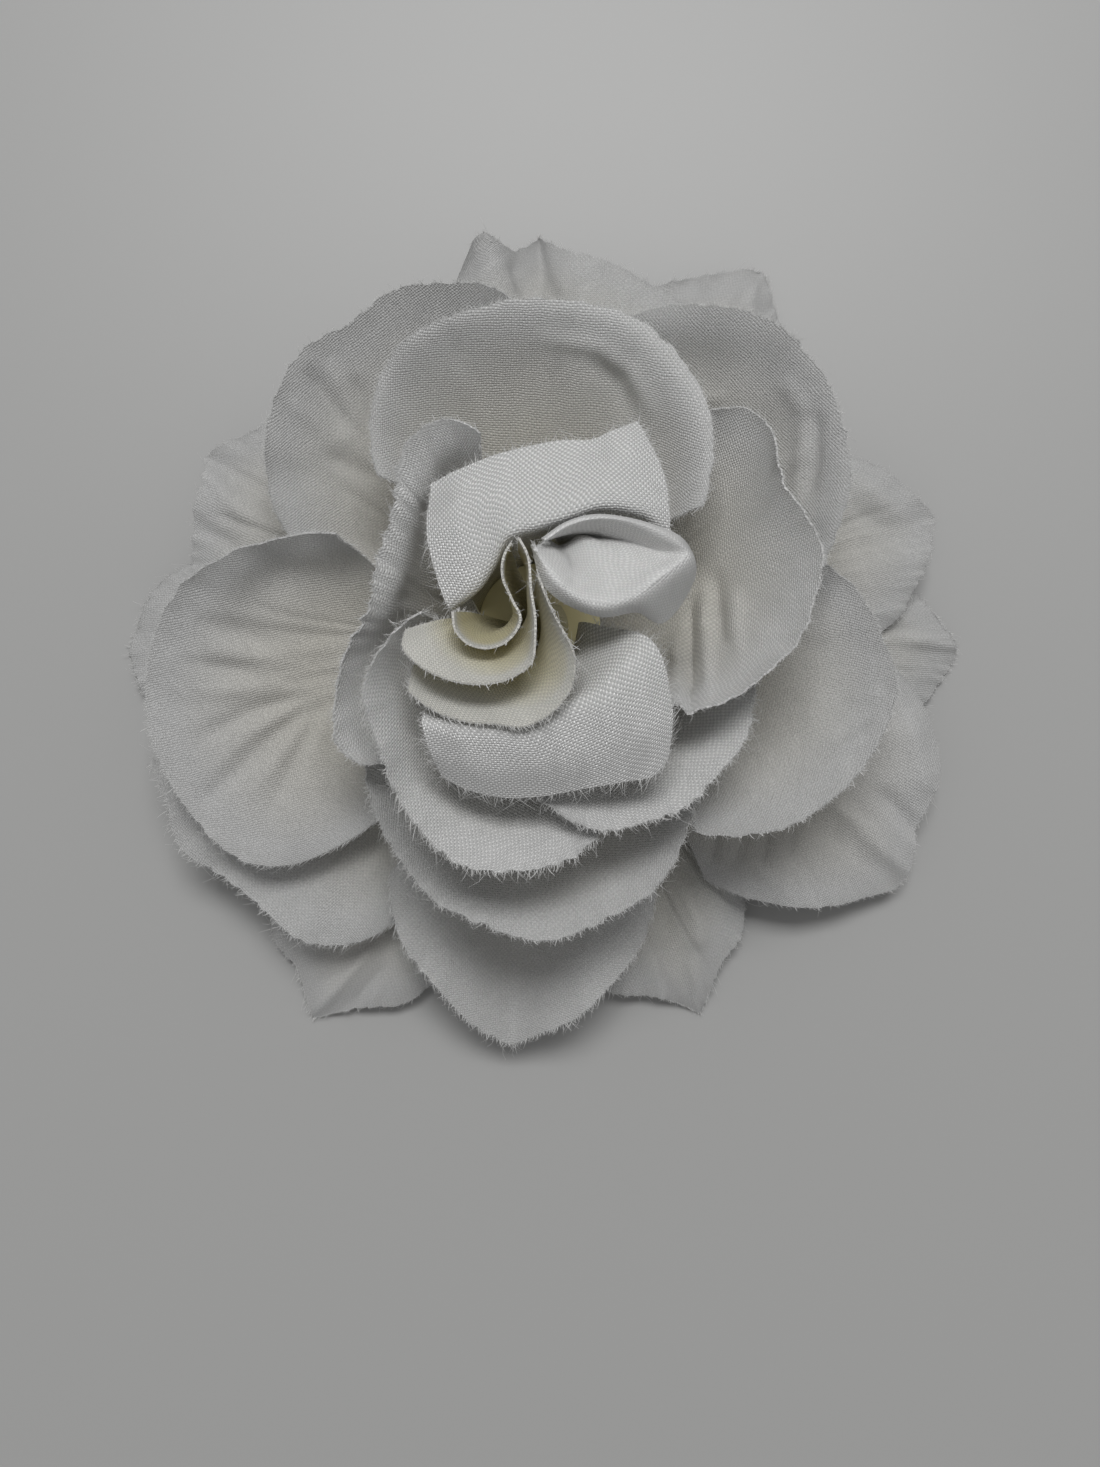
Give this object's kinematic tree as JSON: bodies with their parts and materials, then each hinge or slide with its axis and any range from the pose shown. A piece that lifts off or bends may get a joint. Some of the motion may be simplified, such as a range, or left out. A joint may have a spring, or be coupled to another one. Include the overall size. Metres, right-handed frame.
{
  "type": "flower hair clip",
  "caption": "White fabric rose with layered petals and a curled satin bud, on a felt disc with a sprung steel alligator clip for hair.",
  "frame": {"origin": "on the surface that the rose rests on, under the middle of its box", "axes": "+Z along the flower's axis, out of the bud; +X to the right in the picture and along the clip to its jaws; +Y up in the picture"},
  "size_m": [0.1124, 0.1083, 0.0549],
  "materials": {
    "petal_cloth": "brushed matt",
    "satin_cloth": "satin weave",
    "felt": "felt",
    "stem_plastic": "moulded",
    "clip_steel": "plated",
    "spring_steel": "drawn wire"
  },
  "bodies": {
    "flower": {"felt_disc": "felt", "clip_keeper": "felt", "receptacle": "stem_plastic", "outer_collar": "stem_plastic", "middle_collar": "stem_plastic", "inner_collar": "stem_plastic", "bud_core": "stem_plastic", "clip_base_arm": "clip_steel", "hinge_pin": "clip_steel", "torsion_spring": "spring_steel", "outer_petal_1": "petal_cloth", "outer_petal_2": "petal_cloth", "outer_petal_3": "petal_cloth", "outer_petal_4": "petal_cloth", "outer_petal_5": "petal_cloth", "outer_petal_6": "petal_cloth", "outer_petal_7": "petal_cloth", "outer_petal_8": "petal_cloth", "outer_petal_9": "petal_cloth", "outer_petal_10": "petal_cloth", "middle_petal_1": "petal_cloth", "middle_petal_2": "petal_cloth", "middle_petal_3": "petal_cloth", "middle_petal_4": "petal_cloth", "middle_petal_5": "petal_cloth", "middle_petal_6": "petal_cloth", "inner_petal_1": "petal_cloth", "inner_petal_2": "petal_cloth", "inner_petal_3": "petal_cloth", "inner_petal_4": "petal_cloth", "inner_petal_5": "petal_cloth", "satin_petal_1": "satin_cloth", "satin_petal_2": "satin_cloth", "bud_petal_1": "satin_cloth", "bud_petal_2": "satin_cloth", "bud_petal_3": "satin_cloth", "bud_petal_4": "satin_cloth"},
    "lever": {"clip_lever_arm": "clip_steel"}
  },
  "joints": [
    {"name": "lever_hinge", "type": "hinge", "parent": "flower", "child": "lever", "pos_m": [-0.008, 0, 0.0058], "axis": [0, 1, 0], "range_deg": [0, 24], "stiffness_Nm_per_rad": 0.1, "springref_deg": -28.65, "deforming": ["torsion_spring"]}
  ]
}
